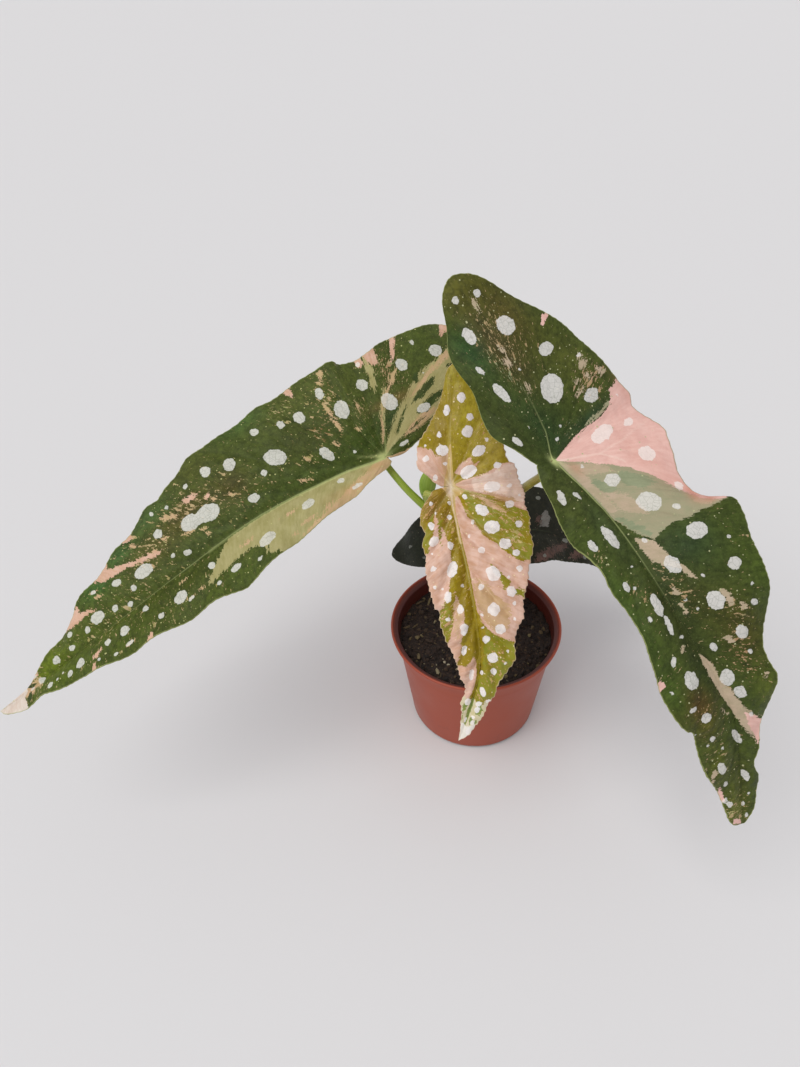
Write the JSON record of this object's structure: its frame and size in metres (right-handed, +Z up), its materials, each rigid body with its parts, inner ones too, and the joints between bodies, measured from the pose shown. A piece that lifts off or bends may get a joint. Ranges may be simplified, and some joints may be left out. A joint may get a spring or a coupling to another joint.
{
  "type": "potted polka dot begonia",
  "caption": "Young cane begonia with long wing-shaped leaves, dotted silver and splashed pink, in a round plastic nursery pot.",
  "frame": {"origin": "centre of the pot's underside, on the surface that it stands on", "axes": "+Z up, +X to the right in the picture, +Y to the back, away from the viewer"},
  "size_m": [0.3354, 0.2042, 0.2525],
  "materials": {
    "pot_plastic": "moulded, satin",
    "potting_mix": "loose dark bark and peat, matte",
    "stem": "smooth green cane",
    "stipule": "smooth, satin",
    "stalk_green": "smooth, satin",
    "stalk_olive": "smooth, satin",
    "leaf_green": "waxy, satin",
    "leaf_young": "waxy, satin",
    "leaf_dark": "waxy, satin"
  },
  "bodies": {
    "root": {"pot": "pot_plastic", "soil": "potting_mix", "main_stem": "stem", "stipule": "stipule", "petiole_left": "stalk_green", "petiole_right": "stalk_olive", "petiole_centre": "stalk_green", "petiole_back": "stalk_olive", "leaf_left": "leaf_green", "leaf_right": "leaf_green", "leaf_centre": "leaf_young", "leaf_back": "leaf_dark"}
  },
  "joints": []
}
